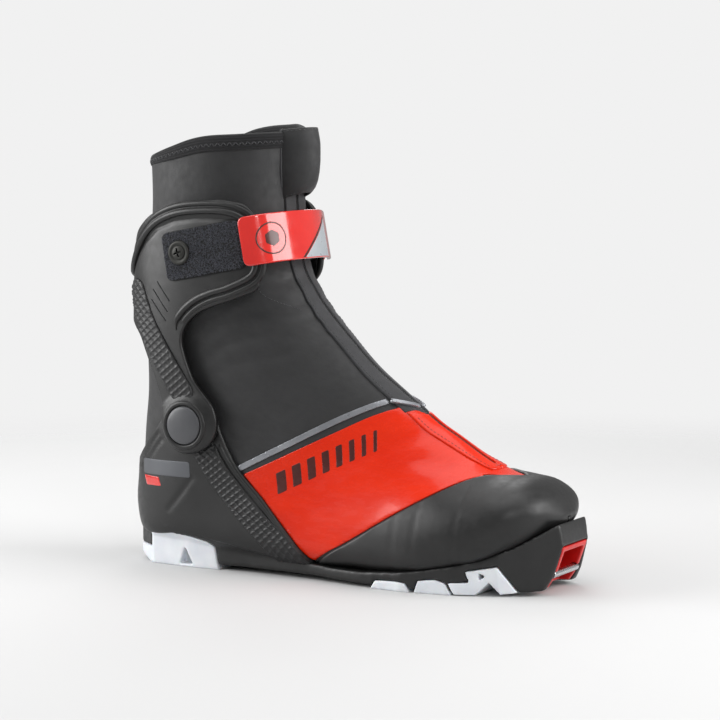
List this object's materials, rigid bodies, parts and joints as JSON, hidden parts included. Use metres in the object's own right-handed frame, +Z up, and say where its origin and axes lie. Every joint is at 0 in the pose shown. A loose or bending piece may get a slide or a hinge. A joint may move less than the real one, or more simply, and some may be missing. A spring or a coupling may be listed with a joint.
{
  "type": "cross-country ski boot",
  "caption": "Ankle-high skate ski boot for the right foot: zipped soft upper, pivoting plastic cuff with instep strap, toe rand, and a sole with a toe bar and treads.",
  "frame": {"origin": "centre of the bounding box in plan, on the ground under the treads", "axes": "+X to the toe, +Y to the wearer's left, which is the medial side of this right boot, +Z up"},
  "size_m": [0.2724, 0.0998, 0.25],
  "materials": {
    "softshell": "matte softshell laminate",
    "knit": "black knit and zip tape",
    "black_plastic": "satin moulded",
    "textured_plastic": "diamond-textured",
    "sole_black": "satin",
    "white_plastic": "satin",
    "red_plastic": "semi-gloss",
    "red_film": "gloss",
    "silver_film": "satin metallic",
    "steel": "polished",
    "screw_metal": "dark zinc",
    "hook_fabric": "hook and loop",
    "foam": "foam with knit cover",
    "lace_cord": "woven cord",
    "board": "pressed fibre"
  },
  "bodies": {
    "foot": {"outsole": "sole_black", "toe_insert": "red_plastic", "toe_bar": "steel", "heel_tread": "white_plastic", "front_tread": "white_plastic", "mid_tread": "white_plastic", "ball_tread": "white_plastic", "upper_lateral": "softshell", "upper_medial": "softshell", "lasting_board": "board", "insole": "foam", "heel_counter": "black_plastic", "brace_grip_lateral": "textured_plastic", "brace_grip_medial": "textured_plastic", "toe_rand": "black_plastic", "vamp_film": "red_film", "stripe_lateral": "silver_film", "stripe_medial": "silver_film", "zip_chain_vamp": "lace_cord", "zip_tape_vamp_lateral": "knit", "zip_tape_vamp_medial": "knit", "lace": "lace_cord", "lace_stay_lateral": "softshell", "lace_stay_medial": "softshell", "tongue": "foam", "flex_gusset_lateral": "softshell", "flex_gusset_medial": "softshell", "tendon_gusset": "softshell", "zip_flex": "knit", "pivot_rivet_lateral": "steel", "pivot_rivet_medial": "steel", "pivot_washer_lateral": "white_plastic", "pivot_washer_medial": "white_plastic", "pivot_cap_lateral": "black_plastic", "pivot_cap_medial": "black_plastic"},
    "cuff": {"cuff": "black_plastic", "cuff_lip_lateral": "black_plastic", "cuff_lip_medial": "black_plastic", "arm_grip_lateral": "textured_plastic", "arm_grip_medial": "textured_plastic", "collar_lateral": "softshell", "collar_medial": "softshell", "collar_binding": "knit", "zip_chain_collar": "lace_cord", "zip_tape_collar_lateral": "knit", "zip_tape_collar_medial": "knit", "hook_patch": "hook_fabric", "strap_anchor": "red_plastic", "strap_washer_lateral": "screw_metal", "strap_washer_medial": "screw_metal", "strap_screw_lateral": "screw_metal", "strap_screw_medial": "screw_metal", "strap_nut_lateral": "screw_metal", "strap_nut_medial": "screw_metal"},
    "strap": {"strap": "red_plastic", "strap_loop_pad": "hook_fabric"},
    "zip_slider": {"zip_slider": "screw_metal"},
    "zip_pull": {"zip_pull": "screw_metal"},
    "hood": {"front_hood": "softshell"}
  },
  "joints": [
    {"name": "cuff_flex", "type": "hinge", "parent": "foot", "child": "cuff", "pos_m": [-0.0836, -0.0005, 0.083], "axis": [0, 1, 0], "range_deg": [-5, 20], "stiffness_Nm_per_rad": 3, "deforming": ["flex_gusset_lateral", "flex_gusset_medial", "tendon_gusset", "zip_flex", "tongue"]},
    {"name": "strap_open", "type": "hinge", "parent": "cuff", "child": "strap", "pos_m": [-0.04392, 0.0456, 0.18669], "axis": [-0.1822, 0, 0.9833], "range_deg": [0, 75]},
    {"name": "zip_slide", "type": "slide", "parent": "cuff", "child": "zip_slider", "axis": [0.075, 0, -0.9972], "range_m": [0, 0.034]},
    {"name": "zip_pull_swing", "type": "hinge", "parent": "zip_slider", "child": "zip_pull", "pos_m": [-0.0302, -0.0005, 0.2234], "axis": [0, -1, 0], "range_deg": [0, 15]},
    {"name": "hood_lift", "type": "hinge", "parent": "cuff", "child": "hood", "pos_m": [-0.0441, -0.0005, 0.2475], "axis": [0, -1, 0], "range_deg": [0, 60], "stiffness_Nm_per_rad": 0.05}
  ]
}
